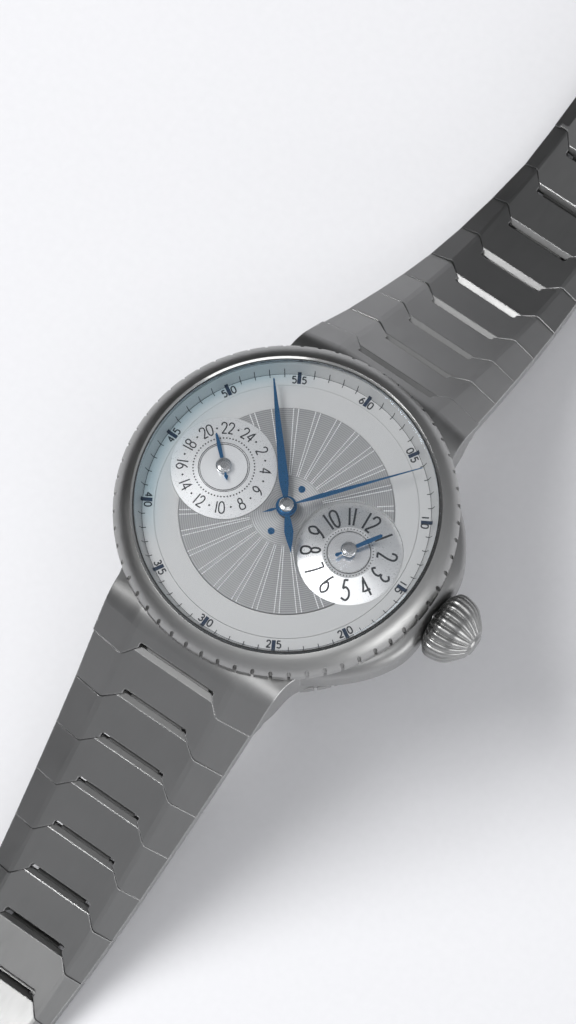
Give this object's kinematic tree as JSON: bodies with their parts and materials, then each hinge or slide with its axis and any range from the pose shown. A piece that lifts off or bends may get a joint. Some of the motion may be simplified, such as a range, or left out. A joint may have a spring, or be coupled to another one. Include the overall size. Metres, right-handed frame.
{
  "type": "regulator wristwatch",
  "caption": "Regulator wristwatch: central minutes and seconds, small hour dial, small 24-hour dial, fluted bezel, onion crown, metal link bracelet with folding clasp.",
  "frame": {"origin": "centre of the flat outer face of the case back", "axes": "+Z out of the dial, +Y to twelve o'clock along the bracelet, +X to the crown at three o'clock"},
  "size_m": [0.0486, 0.1675, 0.0411],
  "materials": {
    "steel_satin": "satin brushed",
    "steel_bezel": "fine satin with a polished inner edge",
    "steel_polished": "polished",
    "steel_plate": "circular grained, rhodium plated",
    "silver_frosted": "fine grained silver",
    "silver_guilloche": "engine turned silver",
    "silver_turned": "circular turned silver",
    "blued_steel": "heat blued, polished",
    "movement_brass": "gilt, polished",
    "movement_steel": "polished",
    "sapphire": "clear, coated on the inside",
    "ruby": "clear red",
    "gasket_rubber": "smooth"
  },
  "bodies": {
    "head": {"case_middle": "steel_satin", "bezel": "steel_bezel", "crystal": "sapphire", "case_gaskets": "gasket_rubber", "case_back": "steel_satin", "back_crystal": "sapphire", "dial_plate": "silver_frosted", "guilloche_disc": "silver_guilloche", "minute_ring": "silver_frosted", "hour_subdial": "silver_turned", "zone_subdial": "silver_turned", "dial_screws": "blued_steel", "main_plate": "steel_plate", "train_bridge": "steel_plate", "balance_cock": "steel_plate", "pallet_bridge": "steel_plate", "jewels": "ruby", "movement_screws": "movement_steel"},
    "barrel": {"mainspring_barrel": "movement_brass"},
    "centre": {"centre_wheel": "movement_brass", "minute_hand": "blued_steel"},
    "third": {"third_wheel": "movement_brass"},
    "fourth": {"fourth_wheel": "movement_steel", "seconds_hand": "blued_steel"},
    "escape": {"escape_wheel": "movement_steel"},
    "pallets": {"pallet_fork": "movement_steel"},
    "balance": {"balance_wheel": "movement_brass"},
    "ratchet": {"ratchet_wheel": "movement_steel"},
    "crown_wheel": {"crown_wheel": "movement_steel"},
    "winding_pinion": {"winding_pinion": "movement_steel"},
    "crown": {"crown": "steel_polished", "winding_stem": "movement_steel"},
    "hour_idler": {"minute_wheel": "movement_brass"},
    "hour_display": {"hour_wheel": "movement_steel", "hour_hand": "blued_steel"},
    "zone_idler": {"zone_idler": "movement_brass"},
    "zone_display": {"zone_wheel": "movement_steel", "zone_hand": "blued_steel"},
    "rotor": {"rotor": "steel_plate"},
    "link_12h_1": {"link_12h_1": "steel_satin"},
    "link_12h_2": {"link_12h_2": "steel_satin"},
    "link_12h_3": {"link_12h_3": "steel_satin"},
    "link_12h_4": {"link_12h_4": "steel_satin"},
    "link_12h_5": {"link_12h_5": "steel_satin"},
    "link_12h_6": {"link_12h_6": "steel_satin"},
    "link_12h_7": {"link_12h_7": "steel_satin"},
    "link_12h_8": {"link_12h_8": "steel_satin"},
    "link_6h_1": {"link_6h_1": "steel_satin"},
    "link_6h_2": {"link_6h_2": "steel_satin"},
    "link_6h_3": {"link_6h_3": "steel_satin"},
    "link_6h_4": {"link_6h_4": "steel_satin"},
    "link_6h_5": {"link_6h_5": "steel_satin"},
    "link_6h_6": {"link_6h_6": "steel_satin"},
    "link_6h_7": {"link_6h_7": "steel_satin"},
    "link_6h_8": {"link_6h_8": "steel_satin"},
    "clasp_cover": {"clasp_cover": "steel_satin"},
    "clasp_upper": {"clasp_upper_blade": "steel_satin"},
    "clasp_lower": {"clasp_lower_blade": "steel_satin"},
    "button_right": {"clasp_button_right": "steel_polished"},
    "button_left": {"clasp_button_left": "steel_polished"}
  },
  "joints": [
    {"name": "crown_turn", "type": "hinge", "parent": "head", "child": "winding_pinion", "pos_m": [0.00965, 0, 0.0065], "axis": [1, 0, 0], "continuous": true},
    {"name": "crown_pull", "type": "slide", "parent": "winding_pinion", "child": "crown", "axis": [1, 0, 0], "range_m": [0, 0.001]},
    {"name": "seconds_turn", "type": "hinge", "parent": "head", "child": "fourth", "pos_m": [0, 0, 0.004], "axis": [0, 0, 1], "continuous": true},
    {"name": "minutes_turn", "type": "hinge", "parent": "head", "child": "centre", "pos_m": [0, 0, 0.0052], "axis": [0, 0, 1], "continuous": true},
    {"name": "hours_turn", "type": "hinge", "parent": "head", "child": "hour_display", "pos_m": [0.00915, 0, 0.0086], "axis": [0, 0, 1], "continuous": true},
    {"name": "zone_turn", "type": "hinge", "parent": "head", "child": "zone_display", "pos_m": [-0.00925, 0, 0.0086], "axis": [0, 0, 1], "continuous": true},
    {"name": "rotor_turn", "type": "hinge", "parent": "head", "child": "rotor", "pos_m": [0, 0, 0.002], "axis": [0, 0, 1], "continuous": true},
    {"name": "hinge_12h_1", "type": "hinge", "parent": "head", "child": "link_12h_1", "pos_m": [0, 0.02268, 0.0043], "axis": [-1, 0, 0], "range_deg": [0, 18]},
    {"name": "hinge_12h_2", "type": "hinge", "parent": "link_12h_1", "child": "link_12h_2", "pos_m": [0, 0.02741, -0.00086], "axis": [-1, 0, 0], "range_deg": [0, 18]},
    {"name": "hinge_12h_3", "type": "hinge", "parent": "link_12h_2", "child": "link_12h_3", "pos_m": [0, 0.03253, -0.00564], "axis": [-1, 0, 0], "range_deg": [0, 18]},
    {"name": "hinge_12h_4", "type": "hinge", "parent": "link_12h_3", "child": "link_12h_4", "pos_m": [0, 0.03781, -0.01023], "axis": [-1, 0, 0], "range_deg": [0, 18]},
    {"name": "hinge_12h_5", "type": "hinge", "parent": "link_12h_4", "child": "link_12h_5", "pos_m": [0, 0.0434, -0.01444], "axis": [-1, 0, 0], "range_deg": [0, 18]},
    {"name": "hinge_12h_6", "type": "hinge", "parent": "link_12h_5", "child": "link_12h_6", "pos_m": [0, 0.04952, -0.01783], "axis": [-1, 0, 0], "range_deg": [0, 18]},
    {"name": "hinge_12h_7", "type": "hinge", "parent": "link_12h_6", "child": "link_12h_7", "pos_m": [0, 0.05604, -0.0204], "axis": [-1, 0, 0], "range_deg": [0, 18]},
    {"name": "hinge_12h_8", "type": "hinge", "parent": "link_12h_7", "child": "link_12h_8", "pos_m": [0, 0.06283, -0.02209], "axis": [-1, 0, 0], "range_deg": [0, 18]},
    {"name": "hinge_6h_1", "type": "hinge", "parent": "head", "child": "link_6h_1", "pos_m": [0, -0.02268, 0.0043], "axis": [-1, 0, 0], "range_deg": [-18, 0]},
    {"name": "hinge_6h_2", "type": "hinge", "parent": "link_6h_1", "child": "link_6h_2", "pos_m": [0, -0.0275, -0.00078], "axis": [-1, 0, 0], "range_deg": [-18, 0]},
    {"name": "hinge_6h_3", "type": "hinge", "parent": "link_6h_2", "child": "link_6h_3", "pos_m": [0, -0.03266, -0.00551], "axis": [-1, 0, 0], "range_deg": [-18, 0]},
    {"name": "hinge_6h_4", "type": "hinge", "parent": "link_6h_3", "child": "link_6h_4", "pos_m": [0, -0.03802, -0.01001], "axis": [-1, 0, 0], "range_deg": [-18, 0]},
    {"name": "hinge_6h_5", "type": "hinge", "parent": "link_6h_4", "child": "link_6h_5", "pos_m": [0, -0.04348, -0.01439], "axis": [-1, 0, 0], "range_deg": [-18, 0]},
    {"name": "hinge_6h_6", "type": "hinge", "parent": "link_6h_5", "child": "link_6h_6", "pos_m": [0, -0.04908, -0.01859], "axis": [-1, 0, 0], "range_deg": [-18, 0]},
    {"name": "hinge_6h_7", "type": "hinge", "parent": "link_6h_6", "child": "link_6h_7", "pos_m": [0, -0.05514, -0.02209], "axis": [-1, 0, 0], "range_deg": [-18, 0]},
    {"name": "hinge_6h_8", "type": "hinge", "parent": "link_6h_7", "child": "link_6h_8", "pos_m": [0, -0.06172, -0.02448], "axis": [-1, 0, 0], "range_deg": [-18, 0]},
    {"name": "clasp_hinge", "type": "hinge", "parent": "link_12h_8", "child": "clasp_cover", "pos_m": [0, 0.06979, -0.02282], "axis": [-1, 0, 0], "range_deg": [0, 18]},
    {"name": "clasp_unfold_upper", "type": "hinge", "parent": "clasp_cover", "child": "clasp_upper", "pos_m": [0, 0.09339, -0.02332], "axis": [1, 0, 0], "range_deg": [0, 150]},
    {"name": "clasp_unfold_lower", "type": "hinge", "parent": "clasp_upper", "child": "clasp_lower", "pos_m": [0, 0.07479, -0.02472], "axis": [-1, 0, 0], "range_deg": [0, 130]},
    {"name": "button_right_press", "type": "slide", "parent": "clasp_cover", "child": "button_right", "axis": [-1, 0, 0], "range_m": [0, 0.0006], "stiffness_N_per_m": 900, "springref_m": -0.0004},
    {"name": "button_left_press", "type": "slide", "parent": "clasp_cover", "child": "button_left", "axis": [1, 0, 0], "range_m": [0, 0.0006], "stiffness_N_per_m": 900, "springref_m": -0.0004},
    {"name": "balance_swing", "type": "hinge", "parent": "head", "child": "balance", "pos_m": [-0.0086, -0.00401, 0.0041], "axis": [0, 0, 1], "range_deg": [-270, 270], "stiffness_Nm_per_rad": 0.0000007},
    {"name": "pallet_swing", "type": "hinge", "parent": "head", "child": "pallets", "pos_m": [-0.00626, -0.00332, 0.0048], "axis": [0, 0, 1], "range_deg": [-6, 6]},
    {"name": "third_turn", "type": "hinge", "parent": "head", "child": "third", "pos_m": [0.00078, -0.00443, 0.0045], "axis": [0, 0, 1], "continuous": true},
    {"name": "barrel_turn", "type": "hinge", "parent": "head", "child": "barrel", "pos_m": [-0.00112, 0.00635, 0.0048], "axis": [0, 0, 1], "continuous": true},
    {"name": "escape_turn", "type": "hinge", "parent": "head", "child": "escape", "pos_m": [-0.00362, -0.00253, 0.0048], "axis": [0, 0, 1], "continuous": true},
    {"name": "ratchet_turn", "type": "hinge", "parent": "head", "child": "ratchet", "pos_m": [-0.00112, 0.00635, 0.0027], "axis": [0, 0, 1], "continuous": true},
    {"name": "crown_wheel_turn", "type": "hinge", "parent": "head", "child": "crown_wheel", "pos_m": [0.0076, 0, 0.0027], "axis": [0, 0, 1], "continuous": true},
    {"name": "hour_idler_turn", "type": "hinge", "parent": "head", "child": "hour_idler", "pos_m": [0.00458, -0.00145, 0.0083], "axis": [0, 0, 1], "continuous": true},
    {"name": "zone_idler_turn", "type": "hinge", "parent": "head", "child": "zone_idler", "pos_m": [-0.00478, 0.00048, 0.0083], "axis": [0, 0, 1], "continuous": true}
  ],
  "couplings": [
    {"joint": "minutes_turn", "follows": "seconds_turn", "ratio": 0.016667},
    {"joint": "third_turn", "follows": "seconds_turn", "ratio": -0.13333},
    {"joint": "barrel_turn", "follows": "seconds_turn", "ratio": -0.002193},
    {"joint": "escape_turn", "follows": "seconds_turn", "ratio": -12},
    {"joint": "hour_idler_turn", "follows": "seconds_turn", "ratio": -0.0055556},
    {"joint": "hours_turn", "follows": "seconds_turn", "ratio": 0.0013889},
    {"joint": "zone_idler_turn", "follows": "seconds_turn", "ratio": -0.0055556},
    {"joint": "zone_turn", "follows": "seconds_turn", "ratio": 0.00069444},
    {"joint": "crown_wheel_turn", "follows": "crown_turn", "ratio": 0.53846},
    {"joint": "ratchet_turn", "follows": "crown_turn", "ratio": -0.75385}
  ]
}
